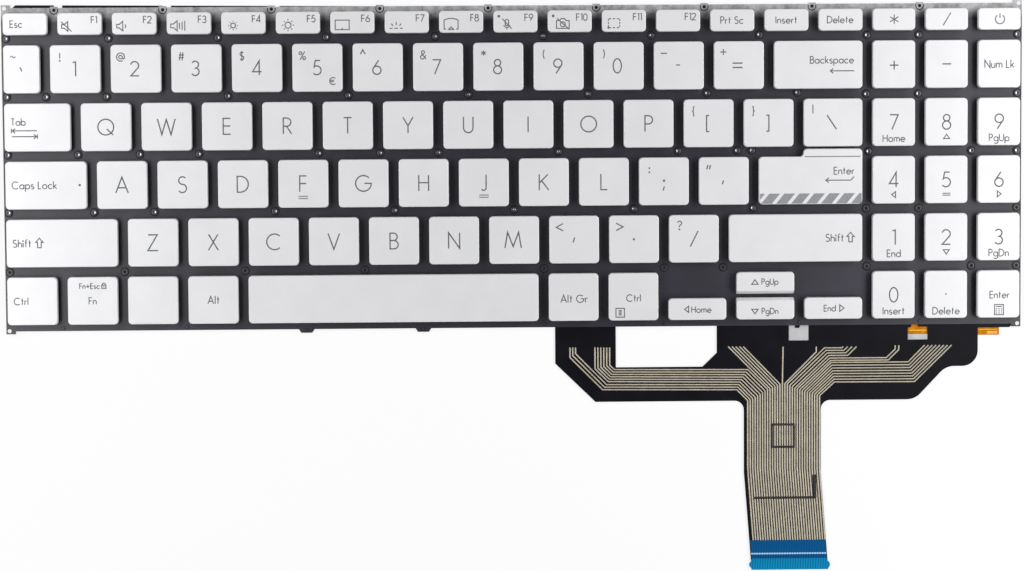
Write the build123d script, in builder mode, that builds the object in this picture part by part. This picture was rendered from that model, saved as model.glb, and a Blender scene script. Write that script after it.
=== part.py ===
"""Laptop replacement keyboard, in millimetres. Keys face +Z, the space bar side faces -Y."""

import math
import os
from build123d import *

os.makedirs("parts", exist_ok=True)

# Key grid
key_pitch = 19.05  # along a row of letters
row_pitch = 18.3
gap_x = 3.15  # between neighbouring caps
gap_y = 3.05
function_depth = 7.0  # depth of the shallow function keys
pad_pitch = 16.75  # columns of the numeric pad
pad_columns = 3
function_count = 16
arrow_gap = 1.2  # between the two half-height arrow rows

# Key widths along a row, in key pitches and with one gap each
block_units = 14.412
grave_units = 0.769
tab_units = 1.2625
caps_units = 1.5145
shift_units = 2.013
space_units = 5.0

# Enter key's upper step, which reaches up beside the backslash key's lower edge
enter_step = 2.45

# Layers, from the underside up
reflector_thick = 0.1
guide_thick = 0.35
film_thick = 0.2
plate_thick = 0.3

# Keycaps
key_travel = 1.4
press_clear = 0.2  # under the skirt of a fully pressed cap
cap_height = 1.7
cap_roof = 0.7
cap_wall = 0.8
cap_corner = 0.76
cap_draft = 4  # degrees

# Support plate
side_margin = 0.97
rear_margin = 1.7
front_margin = 2.1
ear_width = 3.0
ear_reach = 0.9
stake_hole_radius = 0.65
stake_hole_inset = 1.0  # from the plate's side and from the ear's outer edge
rear_tab_width = 2.4
rear_tab_reach = 0.4
rear_tab_count = 9
rear_tab_first = 16.7  # from the plate's left edge
rear_tab_pitch = 34.28
front_tab_base = 5.0
front_tab_tip = 3.5
front_tab_reach = 1.15
front_tab_first = 95.35
front_tab_pitch = 37.15

# Rubber domes, kept four-sided because each key has one
dome_base = 5.0
dome_top = 2.4
slim_dome_base = 2.3  # under the shallow keys
slim_dome_top = 1.2

# Scissor links, an outer and an inner fork that cross at their middles
link_length = 8.8
link_thick = 0.6
link_arm = 0.9
link_gap = 0.15  # between the inner fork and the outer fork round it
inner_link_width = 6.8
slim_link_arm = 0.6
slim_inner_width = 3.5
seat_clear = 0.15  # round a scissor's foot, inside its opening in the plate

# Stabiliser wires under the wide caps
wire_thick = 0.7
wire_leg = 6.0
wire_end_gap = 1.2  # from the wire's ends to the cap's inner walls
wire_least_width = 24.0  # narrower caps have none

# Backlight
guide_inset = 1.2
guide_front_inset = 2.6
strip_thick = 0.12
strip_width = 6.2
strip_length = 45.0
strip_end_inset = 6.7  # strip's end from the plate's right edge
led_length = 3.0
led_width = 0.8
led_height = 0.2
led_count = 4

# Membrane: the film under the plate, its front panel and its tail
film_inset = 1.5
film_corner = 3.0
film_rear_reach = 0.95  # shows behind the plate's rear edge at its left end
film_rear_slip = 2.55  # the film lies a little askew, so its right end stays under the plate
rear_notch_width = 2.6
rear_notch_depth = 3.2
rear_notch_shift = 1.3  # from the plate's rear tab
panel_inset = 13.6  # panel's right edge from the plate's right edge
panel_width = 135.5
panel_drop = 24.1
panel_slope = 12.8  # sloped left corner
panel_slope_rise = 12.4
panel_step_width = 20.2  # shallow right-hand end
panel_step_drop = 13.5
panel_step_slope = 10.0
panel_step_radius = 6.0  # at both ends of the slope
panel_corner = 5.0
tail_left = 60.35  # from the panel's left edge
tail_width = 24.7
tail_straight = 47.1
tail_length = 78.7  # from the plate's front edge
tail_lean = 2.45
tail_root_radius = 3.0
window_left = 19.4
window_width = 32.3
window_drop = 13.05
window_slope = 4.6
window_slope_rise = 4.45
notch_width = 6.4
notch_drop = 4.9
first_notch_left = 74.8
second_notch_left = 113.0
panel_tuck = 1.2  # film left between the cut-outs and the plate's front edge

# Stiffener on the tail's contact end
stiffener_length = 9.5
stiffener_margin = 0.25  # film left bare along both sides
stiffener_thick = 0.2
stiffener_ear = 0.9
stiffener_ear_length = 0.8
stiffener_ear_inset = 1.2

# Heights
film_bottom = reflector_thick + guide_thick
plate_bottom = film_bottom + film_thick
plate_top = plate_bottom + plate_thick
cap_bottom = plate_top + key_travel + press_clear
cap_ceiling = cap_bottom + cap_height - cap_roof

# Key grid worked out
key_depth = row_pitch - gap_y
block_width = block_units * key_pitch
caps_width = block_width + pad_columns * pad_pitch - gap_x
caps_depth = function_depth + 5 * row_pitch
plate_width = caps_width + 2 * side_margin
plate_depth = caps_depth + rear_margin + front_margin
plate_right = plate_width / 2
plate_rear = plate_depth / 2
plate_front = -plate_rear
block_left = -caps_width / 2
block_right = block_left + block_width
function_y = plate_rear - rear_margin - function_depth / 2
number_y = function_y - function_depth / 2 - gap_y - key_depth / 2
row_y = [function_y] + [number_y - n * row_pitch for n in range(5)]


def lay_row(row, depth, slots, left=block_left):
    """Lays (name, slot width) pairs from left to right as (name, x, y, width, depth)."""
    keys = []
    for name, slot in slots:
        keys.append((name, left + (slot - gap_x) / 2, row_y[row], slot - gap_x, depth))
        left += slot
    return keys


def block_row(row, lead, names):
    """A row of the main block: a lead key, keys one pitch wide and a last key that fills the row."""
    first, *middle, last = names.split()
    rest = block_width - lead - len(middle) * key_pitch
    slots = [(first, lead), *[(name, key_pitch) for name in middle], (last, rest)]
    return lay_row(row, key_depth, slots)


function_slot = block_width / function_count
function_keys = lay_row(
    0, function_depth, [(f"function_{n}", function_slot) for n in range(function_count)]
)
number_keys = block_row(
    1,
    grave_units * key_pitch,
    "grave one two three four five six seven eight nine zero minus equals backspace",
)
pad_keys = []
for row in range(6):
    pad_depth = function_depth if row == 0 else key_depth
    pad_slots = [(f"pad_{row}_{column}", pad_pitch) for column in range(pad_columns)]
    pad_keys += lay_row(row, pad_depth, pad_slots, block_right)
fixed_keys = function_keys + number_keys + pad_keys

tab_row = block_row(
    2, tab_units * key_pitch, "tab q w e r t y u i o p left_bracket right_bracket backslash"
)
home_row = block_row(
    3, caps_units * key_pitch, "caps_lock a s d f g h j k l semicolon quote enter"
)
shift_row = block_row(
    4, shift_units * key_pitch, "left_shift z x c v b n m comma period slash right_shift"
)
space_slots = [(name, key_pitch) for name in "left_ctrl fn system left_alt".split()]
space_slots.append(("space", space_units * key_pitch))
space_slots += [(name, key_pitch) for name in "right_alt right_ctrl".split()]
space_row = lay_row(5, key_depth, space_slots)

# The arrow keys share the last third of the bottom row, in two half-height rows
arrow_left = block_left + sum(slot for _, slot in space_slots)
arrow_slot = (block_right - arrow_left) / 3
arrow_depth = (key_depth - arrow_gap) / 2
arrow_step = (arrow_depth + arrow_gap) / 2
arrow_keys = []
for name, column, side in (("left", 0, -1), ("up", 1, 1), ("down", 1, -1), ("right", 2, -1)):
    arrow_x = arrow_left + column * arrow_slot + (arrow_slot - gap_x) / 2
    arrow_y = row_y[5] + side * arrow_step
    arrow_keys.append((f"arrow_{name}", arrow_x, arrow_y, arrow_slot - gap_x, arrow_depth))

deep_keys = tab_row + home_row + shift_row + space_row
moving_keys = deep_keys + arrow_keys
backslash_x, backslash_width = tab_row[-1][1], tab_row[-1][3]


def spots(keys):
    return [(x, y) for _, x, y, _, _ in keys]


# Keycaps with a joint of their own
for name, x, y, width, depth in moving_keys:
    with BuildPart() as keycap:
        with BuildSketch(Plane.XY.offset(cap_bottom)) as cap_outline:
            with Locations((x, y)):
                Rectangle(width, depth)
            chamfer(cap_outline.vertices(), cap_corner)
        extrude(amount=cap_height, taper=cap_draft)
        if name == "enter":
            step_middle = y + depth / 2 + (enter_step - cap_wall) / 2
            with BuildSketch(Plane.XY.offset(cap_bottom)) as step_outline:
                with Locations((backslash_x, step_middle)):
                    Rectangle(backslash_width, enter_step + cap_wall)
                chamfer(step_outline.vertices().group_by(Axis.Y)[-1], cap_corner)
            extrude(amount=cap_height, taper=cap_draft)
        with BuildSketch(Plane.XY.offset(cap_bottom)):
            with Locations((x, y)):
                Rectangle(width - 2 * cap_wall, depth - 2 * cap_wall)
        extrude(amount=cap_height - cap_roof, mode=Mode.SUBTRACT)
    keycap.part.label = f"key_{name}"
    export_step(keycap.part, f"parts/key_{name}.step")

# Keycaps of the function row, the number row and the numeric pad
with BuildPart() as fixed_keycaps:
    with BuildSketch(Plane.XY.offset(cap_bottom)) as cap_outlines:
        for _, x, y, width, depth in fixed_keys:
            with Locations((x, y)):
                Rectangle(width, depth)
        chamfer(cap_outlines.vertices(), cap_corner)
    extrude(amount=cap_height, taper=cap_draft)
    with BuildSketch(Plane.XY.offset(cap_bottom)):
        for _, x, y, width, depth in fixed_keys:
            with Locations((x, y)):
                Rectangle(width - 2 * cap_wall, depth - 2 * cap_wall)
    extrude(amount=cap_height - cap_roof, mode=Mode.SUBTRACT)
fixed_keycaps.part.label = "fixed_keycaps"
export_step(fixed_keycaps.part, "parts/fixed_keycaps.step")

# Rubber domes, which stand on the film and hold up the caps
all_keys = fixed_keys + moving_keys
deep_spots = spots([key for key in all_keys if key[4] == key_depth])
shallow_spots = spots([key for key in all_keys if key[4] < key_depth])
dome_height = cap_ceiling - plate_bottom
with BuildPart() as rubber_domes:
    for places, base, top in (
        (deep_spots, dome_base, dome_top),
        (shallow_spots, slim_dome_base, slim_dome_top),
    ):
        with BuildSketch(Plane.XY.offset(plate_bottom)):
            with Locations(*places):
                Rectangle(base, base)
        dome_taper = math.degrees(math.atan2((base - top) / 2, dome_height))
        extrude(amount=dome_height, taper=dome_taper)
rubber_domes.part.label = "rubber_domes"
export_step(rubber_domes.part, "parts/rubber_domes.step")


def tilt_to_fill(rise, length, thick):
    """Tilt in degrees at which a flat bar reaches from the bottom to the top of a space."""
    corner = math.degrees(math.atan2(thick, length))
    return math.degrees(math.asin(rise / math.hypot(length, thick))) - corner


# Scissor links: the feet stand on the film inside the plate's openings, the tips meet the cap's roof
link_middle = (plate_bottom + cap_ceiling) / 2
link_tilt = tilt_to_fill(cap_ceiling - plate_bottom, link_length, link_thick)


def outer_width(inner_width, arm):
    return inner_width + 2 * (link_gap + arm)


def link_pair(inner_width, arm):
    """An outer fork with its foot at the front, and an inner fork with its foot at the rear."""
    with BuildPart() as pair:
        for width, side in ((outer_width(inner_width, arm), 1), (inner_width, -1)):
            with BuildSketch(Plane.XY.offset(link_middle).rotated((side * link_tilt, 0, 0))):
                Rectangle(width, link_length)
                with Locations((0, side * arm)):
                    Rectangle(width - 2 * arm, link_length, mode=Mode.SUBTRACT)
            extrude(amount=link_thick / 2, both=True)
    return pair.part


deep_pair = link_pair(inner_link_width, link_arm)
slim_pair = link_pair(slim_inner_width, slim_link_arm)
with BuildPart() as scissor_links:
    with Locations(*spots(deep_keys)):
        add(deep_pair)
    with Locations(*[Location((x, y, 0), (0, 0, 90)) for x, y in spots(arrow_keys)]):
        add(slim_pair)
scissor_links.part.label = "scissor_links"
export_step(scissor_links.part, "parts/scissor_links.step")

# Stabiliser wires: a long bar under the roof with two legs down to the plate
wire_tilt = tilt_to_fill(cap_ceiling - plate_top, wire_leg, wire_thick)
wire_height = (plate_top + cap_ceiling) / 2
wire_rear = key_depth / 2 - cap_wall - wire_end_gap
wire_middle = wire_rear - wire_leg / 2
with BuildPart() as stabiliser_bars:
    for _, x, y, width, _ in [key for key in deep_keys if key[3] > wire_least_width]:
        wire_plane = Plane((x, y + wire_middle, wire_height)).rotated((wire_tilt, 0, 0))
        wire_span = width - 2 * (cap_wall + wire_end_gap)
        with BuildSketch(wire_plane):
            Rectangle(wire_span, wire_leg)
            with Locations((0, -wire_thick)):
                Rectangle(wire_span - 2 * wire_thick, wire_leg, mode=Mode.SUBTRACT)
        extrude(amount=wire_thick / 2, both=True)
stabiliser_bars.part.label = "stabiliser_bars"
export_step(stabiliser_bars.part, "parts/stabiliser_bars.step")

# Support plate, with an opening for each key's dome and scissor
ear_x = plate_right - ear_width / 2
hole_x = plate_right - stake_hole_inset
hole_y = plate_rear + ear_reach - stake_hole_inset
tilt = math.radians(link_tilt)
foot_length = link_length * math.cos(tilt) + link_thick * math.sin(tilt) + 2 * seat_clear
foot_width = outer_width(inner_link_width, link_arm) + 2 * seat_clear
slim_foot_width = outer_width(slim_inner_width, slim_link_arm) + 2 * seat_clear
front_tabs = [-plate_right + front_tab_first + n * front_tab_pitch for n in range(2)]
rear_tabs = [-plate_right + rear_tab_first + n * rear_tab_pitch for n in range(rear_tab_count)]
with BuildPart() as support_plate:
    with BuildSketch(Plane.XY.offset(plate_bottom)):
        Rectangle(plate_width, plate_depth)
        with Locations((-ear_x, 0), (ear_x, 0)):
            Rectangle(ear_width, plate_depth + 2 * ear_reach)
        with Locations(*[(tab_x, plate_rear) for tab_x in rear_tabs]):
            Rectangle(rear_tab_width, 2 * rear_tab_reach)
        for tab_x in front_tabs:
            with BuildLine():
                Polyline(
                    (tab_x - front_tab_base / 2, plate_front),
                    (tab_x - front_tab_tip / 2, plate_front - front_tab_reach),
                    (tab_x + front_tab_tip / 2, plate_front - front_tab_reach),
                    (tab_x + front_tab_base / 2, plate_front),
                    close=True,
                )
            make_face()
        with GridLocations(2 * hole_x, 2 * hole_y, 2, 2):
            Circle(stake_hole_radius, mode=Mode.SUBTRACT)
        with Locations(*deep_spots):
            Rectangle(foot_width, foot_length, mode=Mode.SUBTRACT)
        with Locations(*shallow_spots):
            Rectangle(foot_length, slim_foot_width, mode=Mode.SUBTRACT)
    extrude(amount=plate_thick)
support_plate.part.label = "support_plate"
export_step(support_plate.part, "parts/support_plate.step")

# Membrane circuit: the film under the plate, with the front panel and the tail in one piece
panel_right = plate_right - panel_inset
panel_left = panel_right - panel_width
tail_x = panel_left + tail_left
panel_bottom = plate_front - panel_drop
step_bottom = plate_front - panel_step_drop
step_left = panel_right - panel_step_width
tail_bend = plate_front - tail_straight
tail_end = plate_front - tail_length
film_front = plate_front + panel_tuck
film_rear = plate_rear + film_rear_reach
film_width = plate_width - 2 * film_inset
film_side = film_width / 2

with BuildPart() as membrane_circuit:
    with BuildSketch(Plane.XY.offset(film_bottom)) as film_outline:
        with BuildLine():
            Polyline(
                (-film_side, film_front),
                (film_side, film_front),
                (film_side, film_rear - film_rear_slip),
                (-film_side, film_rear),
                close=True,
            )
        make_face()
        chamfer(film_outline.vertices(), film_corner)
        panel_radii = [0, 0, 0, tail_root_radius, 0, 0, 0, 0, tail_root_radius]
        panel_radii += [panel_step_radius, panel_step_radius, panel_corner, 0]
        with BuildLine():
            FilletPolyline(
                (panel_left, film_front + film_corner),
                (panel_left, panel_bottom + panel_slope_rise),
                (panel_left + panel_slope, panel_bottom),
                (tail_x, panel_bottom),
                (tail_x, tail_bend),
                (tail_x + tail_lean, tail_end),
                (tail_x + tail_lean + tail_width, tail_end),
                (tail_x + tail_width, tail_bend),
                (tail_x + tail_width, panel_bottom),
                (step_left, panel_bottom),
                (step_left + panel_step_slope, step_bottom),
                (panel_right, step_bottom),
                (panel_right, film_front + film_corner),
                radius=panel_radii,
                close=True,
            )
        make_face()
        with BuildLine():
            window_right = panel_left + window_left + window_width
            window_bottom = plate_front - window_drop
            Polyline(
                (panel_left + window_left, film_front),
                (panel_left + window_left, window_bottom),
                (window_right - window_slope, window_bottom),
                (window_right, window_bottom + window_slope_rise),
                (window_right, film_front),
                close=True,
            )
        make_face(mode=Mode.SUBTRACT)
        for notch_left in (first_notch_left, second_notch_left):
            with Locations((panel_left + notch_left + notch_width / 2, plate_front)):
                Rectangle(notch_width, 2 * notch_drop, mode=Mode.SUBTRACT)
        with Locations(*[(tab_x + rear_notch_shift, film_rear) for tab_x in rear_tabs]):
            Rectangle(rear_notch_width, 2 * rear_notch_depth, mode=Mode.SUBTRACT)
    extrude(amount=film_thick)
membrane_circuit.part.label = "membrane_circuit"
export_step(membrane_circuit.part, "parts/membrane_circuit.step")

# Stiffener on the tail's contact end, which leans with the tail and has a tapered ear on each side
end_x = tail_x + tail_lean + tail_width / 2
lean_rate = tail_lean / (tail_length - tail_straight)
stiffener_half = tail_width / 2 - stiffener_margin
ear_top = stiffener_ear_inset + stiffener_ear_length
ear_profile = [  # height above the tail's end, reach
    (0, 0),
    (stiffener_ear_inset, stiffener_ear),
    (ear_top, stiffener_ear),
    (ear_top + stiffener_ear_inset, 0),
    (stiffener_length, 0),
]
with BuildPart() as tail_stiffener:
    with BuildSketch(Plane.XY.offset(plate_bottom)):
        with BuildLine():
            Polyline(
                *[(end_x + stiffener_half + reach - lean_rate * rise, tail_end + rise) for rise, reach in ear_profile],
                *[(end_x - stiffener_half - reach - lean_rate * rise, tail_end + rise) for rise, reach in reversed(ear_profile)],
                close=True,
            )
        make_face()
    extrude(amount=stiffener_thick)
tail_stiffener.part.label = "tail_stiffener"
export_step(tail_stiffener.part, "parts/tail_stiffener.step")

# Reflector film, the lowest layer
with BuildPart() as reflector_film:
    with BuildSketch() as reflector_outline:
        Rectangle(film_width, plate_depth - 2 * guide_inset)
        chamfer(reflector_outline.vertices(), film_corner)
    extrude(amount=reflector_thick)
reflector_film.part.label = "reflector_film"
export_step(reflector_film.part, "parts/reflector_film.step")

# Light guide, set back at the front for the strip of diodes
guide_rear = plate_rear - guide_inset
guide_front = plate_front + guide_front_inset
with BuildPart() as light_guide:
    with BuildSketch(Plane.XY.offset(reflector_thick)) as guide_outline:
        with Locations((0, (guide_rear + guide_front) / 2)):
            Rectangle(film_width, guide_rear - guide_front)
        chamfer(guide_outline.vertices(), film_corner)
    extrude(amount=guide_thick)
light_guide.part.label = "light_guide"
export_step(light_guide.part, "parts/light_guide.step")

# Flexible strip with its diodes, which face the light guide's front edge
strip_rear = guide_front
strip_right = plate_right - strip_end_inset
strip_middle = strip_right - strip_length / 2
with BuildPart() as led_strip:
    with BuildSketch(Plane.XY.offset(reflector_thick)):
        with Locations((strip_middle, strip_rear - strip_width / 2)):
            Rectangle(strip_length, strip_width)
    extrude(amount=strip_thick)
    with BuildSketch(Plane.XY.offset(reflector_thick + strip_thick)):
        with Locations((strip_middle, strip_rear - led_width / 2)):
            with GridLocations(strip_length / led_count, 1, led_count, 1):
                Rectangle(led_length, led_width)
    extrude(amount=led_height)
led_strip.part.label = "led_strip"
export_step(led_strip.part, "parts/led_strip.step")
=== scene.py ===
import math

import bpy
from mathutils import Matrix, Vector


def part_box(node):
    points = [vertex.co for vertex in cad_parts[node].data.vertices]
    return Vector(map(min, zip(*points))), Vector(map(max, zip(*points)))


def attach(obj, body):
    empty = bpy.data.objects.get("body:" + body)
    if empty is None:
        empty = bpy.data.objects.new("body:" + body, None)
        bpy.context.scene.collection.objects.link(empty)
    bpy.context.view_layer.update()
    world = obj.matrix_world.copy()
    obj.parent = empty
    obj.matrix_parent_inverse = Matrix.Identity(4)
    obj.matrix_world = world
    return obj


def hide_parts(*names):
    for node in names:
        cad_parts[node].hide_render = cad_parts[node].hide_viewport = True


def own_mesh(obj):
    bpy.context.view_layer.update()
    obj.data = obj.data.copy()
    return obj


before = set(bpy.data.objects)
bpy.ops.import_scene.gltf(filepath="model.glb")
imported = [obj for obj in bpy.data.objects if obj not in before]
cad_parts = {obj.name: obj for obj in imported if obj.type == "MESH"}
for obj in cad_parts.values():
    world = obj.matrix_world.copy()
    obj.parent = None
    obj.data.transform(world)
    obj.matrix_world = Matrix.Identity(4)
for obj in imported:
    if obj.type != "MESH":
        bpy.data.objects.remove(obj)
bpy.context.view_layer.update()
scene = bpy.context.scene
mm = 0.001
bpy.ops.object.select_all(action="DESELECT")
print("frame loaded,", len(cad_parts), "CAD nodes")

# Camera, found from the key grid in the photograph (millimetres and radians)
view = {
    "place": (-15.904, 7.27, 800),
    "turn": (-0.056107, -0.019062, -0.006558),
    "lens": 88.28,
    "sensor": 36,
    "nearest": 10,
}
bpy.ops.object.camera_add(location=[v * mm for v in view["place"]], rotation=view["turn"])
camera = bpy.context.object
camera.data.lens = view["lens"]
camera.data.sensor_width = view["sensor"]
camera.data.clip_start = view["nearest"] * mm
scene.camera = camera
print("camera set")


def hexColor(code):
    shares = [int(code[i : i + 2], 16) / 255 for i in (1, 3, 5)]
    return [s / 12.92 if s <= 0.04045 else ((s + 0.055) / 1.055) ** 2.4 for s in shares] + [1]


def newMaterial(name, sockets):
    material = bpy.data.materials.new(name)
    material.use_nodes = True
    for socket, value in sockets.items():
        material.node_tree.nodes["Principled BSDF"].inputs[socket].default_value = value
    return material


def addNode(material, kind, settings={}, links={}, feeds=None):
    tree = material.node_tree
    node = tree.nodes.new(kind)
    for name, value in settings.items():
        if name == "stops":  # colour ramp, from (place, hex colour) pairs
            while len(node.color_ramp.elements) < len(value):
                node.color_ramp.elements.new(1)
            for stop, (place, code) in zip(node.color_ramp.elements, value):
                stop.position, stop.color = place, hexColor(code)
        elif isinstance(name, int) or name in node.inputs:
            node.inputs[name].default_value = value
        else:
            setattr(node, name, value)
    for name, socket in links.items():
        tree.links.new(socket, node.inputs[name])
    if feeds:
        out = [socket for socket in node.outputs if socket.enabled][0]
        tree.links.new(out, tree.nodes["Principled BSDF"].inputs[feeds])
    return node


def mottle(material, patch, detail, stops):
    # clouds the base colour between hex colours, in patches of a real size in millimetres
    spot = addNode(material, "ShaderNodeTexCoord").outputs["Object"]
    settings = {"Scale": 1 / (patch * mm), "Detail": detail}
    cloud = addNode(material, "ShaderNodeTexNoise", settings, {"Vector": spot}).outputs[0]
    ramp = addNode(material, "ShaderNodeValToRGB", {"stops": stops}, {0: cloud}, "Base Color")
    return spot, cloud, ramp.outputs[0]


# Satin silver paint on moulded ABS: a soft broad sheen, with sprayed grain and faint cloudiness
capPaint = newMaterial("satinSilverPaint", {"Metallic": 0.2, "Roughness": 0.36})
spot = mottle(capPaint, 9, 4, [(0.3, "#e4e4e6"), (0.7, "#e9e9eb")])[0]
sprayed = {"Scale": 1 / (0.3 * mm), "Detail": 2}  # drawn three times coarser than paint grain
grain = addNode(capPaint, "ShaderNodeTexNoise", sprayed, {"Vector": spot}).outputs[0]
addNode(capPaint, "ShaderNodeBump", {"Strength": 0.12, "Distance": 0.01 * mm}, {"Height": grain}, "Normal")

# Grey pad-printed ink: matt, slightly uneven in cover
legendInk = newMaterial("padPrintedInk", {"Roughness": 0.65})
mottle(legendInk, 0.8, 3, [(0.3, "#5e5e61"), (0.75, "#757578")])

# Lighter grey ink: the stripes along the Enter key; the same grey is painted shade for the line at the Enter
# key's step and for the homing ridges, whose relief reads paler than letters
lightInkAndShade = newMaterial("lightInkAndPaintedShade", {"Roughness": 0.5})
mottle(lightInkAndShade, 1.5, 3, [(0.3, "#85868a"), (0.75, "#8f9094")])

# Charcoal coat on stamped steel: satin blue-black, with a painted highlight in pale grey along the rear
# edge, mottled by a scuff noise
plateCoat = newMaterial("charcoalCoatedSteel", {"Roughness": 0.38, "Specular IOR Level": 0.75})
spot, _, coat = mottle(plateCoat, 14, 5, [(0.35, "#1f1d29"), (0.7, "#282633")])
place = addNode(plateCoat, "ShaderNodeSeparateXYZ", {}, {0: spot}).outputs
scuffAndSheenNoise = {"Scale": 1 / (2.5 * mm), "Detail": 6, "Roughness": 0.7}
scuffAndSheen = addNode(plateCoat, "ShaderNodeTexNoise", scuffAndSheenNoise, {"Vector": spot}).outputs[0]
# painted highlight: a pale grey sheen that rises towards the rear edge, broken up by the scuff noise
edge = {"interpolation_type": "SMOOTHSTEP", "From Min": 44.5 * mm, "From Max": 50.2 * mm}
rear = addNode(plateCoat, "ShaderNodeMapRange", edge, {"Value": place["Y"]}).outputs[0]
rearSheen = addNode(plateCoat, "ShaderNodeMath", {"operation": "MULTIPLY"}, {0: scuffAndSheen, 1: rear}).outputs[0]
sheenRange = {"From Min": 0.13, "From Max": 0.64}
sheenShare = addNode(plateCoat, "ShaderNodeMapRange", sheenRange, {"Value": rearSheen}).outputs[0]
# the painted highlight's pale grey
sheenGrey = {"data_type": "RGBA", 7: hexColor("#bcbcbe")}
addNode(plateCoat, "ShaderNodeMix", sheenGrey, {0: sheenShare, 6: coat}, "Base Color")
addNode(plateCoat, "ShaderNodeBump", {"Strength": 0.15, "Distance": 0.02 * mm}, {"Height": scuffAndSheen}, "Normal")

# Black screen-printed polyester film: even, slightly glossy, with a faint ripple
filmBlack = newMaterial("blackPolyesterFilm", {"Roughness": 0.42, "Specular IOR Level": 0.12})
ripple = mottle(filmBlack, 7, 3, [(0.3, "#0a0a10"), (0.7, "#101017")])[1]
addNode(filmBlack, "ShaderNodeBump", {"Strength": 0.1, "Distance": 0.1 * mm}, {"Height": ripple}, "Normal")

# Silver conductor ink: beige grey, faintly metallic, a little mottled
traceInk = newMaterial("silverConductorInk", {"Metallic": 0.2, "Roughness": 0.45})
mottle(traceInk, 3, 4, [(0.3, "#bdb5a1"), (0.7, "#d2cab6")])

# Black carbon ink over the traces: matt and nearly even
carbonInk = newMaterial("blackCarbonInk", {"Roughness": 0.6})
mottle(carbonInk, 1, 3, [(0.3, "#161616"), (0.7, "#242425")])

# Blue polyester stiffener: dark blue, then a pale score line and a teal contact end with fine pin lines
stiffenerBlue = newMaterial("bluePolyesterStiffener", {"Roughness": 0.4, "Specular IOR Level": 0.1})
spot = addNode(stiffenerBlue, "ShaderNodeTexCoord").outputs["Object"]
place = addNode(stiffenerBlue, "ShaderNodeSeparateXYZ", {}, {0: spot}).outputs
ends = {"From Min": -129.85 * mm, "From Max": -120.35 * mm}
along = addNode(stiffenerBlue, "ShaderNodeMapRange", ends, {"Value": place["Y"]}).outputs[0]
contactEnd = [(0, "#0688b8"), (0.37, "#0582b2"), (0.4, "#014c82"), (0.52, "#014c82")]
scoreLine = [(0.53, "#a8d4f2"), (0.57, "#a8d4f2")]
zones = contactEnd + scoreLine + [(0.58, "#01548f"), (1, "#015087")]
zone = addNode(stiffenerBlue, "ShaderNodeValToRGB", {"stops": zones}, {0: along}).outputs[0]
tailLean = {"Rotation": (0, 0, 0.0775)}  # the pins lean with the tail
turned = addNode(stiffenerBlue, "ShaderNodeMapping", tailLean, {"Vector": spot}).outputs[0]
pinPitch = 0.81
bands = {"bands_direction": "X", "Scale": 2 * math.pi / (20 * pinPitch * mm)}
pins = addNode(stiffenerBlue, "ShaderNodeTexWave", bands, {"Vector": turned}).outputs["Fac"]
thinned = {"From Min": 0.6, "From Max": 0.9, "To Max": 0.6}
pinLines = addNode(stiffenerBlue, "ShaderNodeMapRange", thinned, {"Value": pins}).outputs[0]
pinBlue = {"data_type": "RGBA", 7: hexColor("#013c66")}
addNode(stiffenerBlue, "ShaderNodeMix", pinBlue, {0: pinLines, 6: zone}, "Base Color")

# Amber polyimide strip: matt and mottled, with pale diodes standing on it
amberStrip = newMaterial("amberPolyimide", {"Roughness": 0.6, "Specular IOR Level": 0.04})
spot, _, amber = mottle(amberStrip, 2, 3, [(0.3, "#a86206"), (0.7, "#cc8410")])
place = addNode(amberStrip, "ShaderNodeSeparateXYZ", {}, {0: spot}).outputs
aboveStrip = {"From Min": 0.25 * mm, "From Max": 0.3 * mm}
height = addNode(amberStrip, "ShaderNodeMapRange", aboveStrip, {"Value": place["Z"]}).outputs[0]
diode = {"data_type": "RGBA", 7: hexColor("#efe6b8")}
addNode(amberStrip, "ShaderNodeMix", diode, {0: height, 6: amber}, "Base Color")

# Clear acrylic sheet with printed dots, whose milky face scatters the backlight
acrylicGuide = newMaterial("dottedAcrylicSheet", {"Roughness": 0.25, "Transmission Weight": 0.45})
spot = addNode(acrylicGuide, "ShaderNodeTexCoord").outputs["Object"]
dotted = {"Scale": 1 / (1.5 * mm), "Randomness": 0.1}
dots = addNode(acrylicGuide, "ShaderNodeTexVoronoi", dotted, {"Vector": spot}).outputs["Distance"]
milk = {"stops": [(0.2, "#f6f7f7"), (0.35, "#dde2e2")]}
addNode(acrylicGuide, "ShaderNodeValToRGB", milk, {0: dots}, "Base Color")

# White reflector film: matt, foamed polyester with a fine cloudy look
reflectorWhite = newMaterial("whiteFoamedPolyester", {"Roughness": 0.55})
mottle(reflectorWhite, 5, 5, [(0.3, "#ebebea"), (0.7, "#f4f4f2")])

# Translucent silicone rubber: milky, soft sheen
milkiness = {"Subsurface Weight": 0.2, "Subsurface Scale": 0.5 * mm}
domeSilicone = newMaterial("milkySilicone", {"Roughness": 0.5, **milkiness})
mottle(domeSilicone, 1.2, 2, [(0.3, "#cfcfca"), (0.7, "#dcdcd8")])

# Natural acetal, moulded: waxy off-white
linkAcetal = newMaterial("naturalAcetal", {"Roughness": 0.35})
mottle(linkAcetal, 2, 2, [(0.3, "#dcdad2"), (0.7, "#e6e4de")])

# Drawn spring steel: bright, with a fine uneven sheen
wireSteel = newMaterial("drawnSpringSteel", {"Metallic": 1, "Roughness": 0.28})
mottle(wireSteel, 0.4, 3, [(0.3, "#a9abae"), (0.7, "#c2c4c7")])

# Painted shade: near-black and matt, standing in for the shadow in the groove round each stake and in the
# stakes' holes
grooveAndHoleShade = newMaterial("paintedGrooveShade", {"Roughness": 0.6, "Specular IOR Level": 0.3})
mottle(grooveAndHoleShade, 0.7, 2, [(0.3, "#070708"), (0.7, "#0f0f11")])

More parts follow.
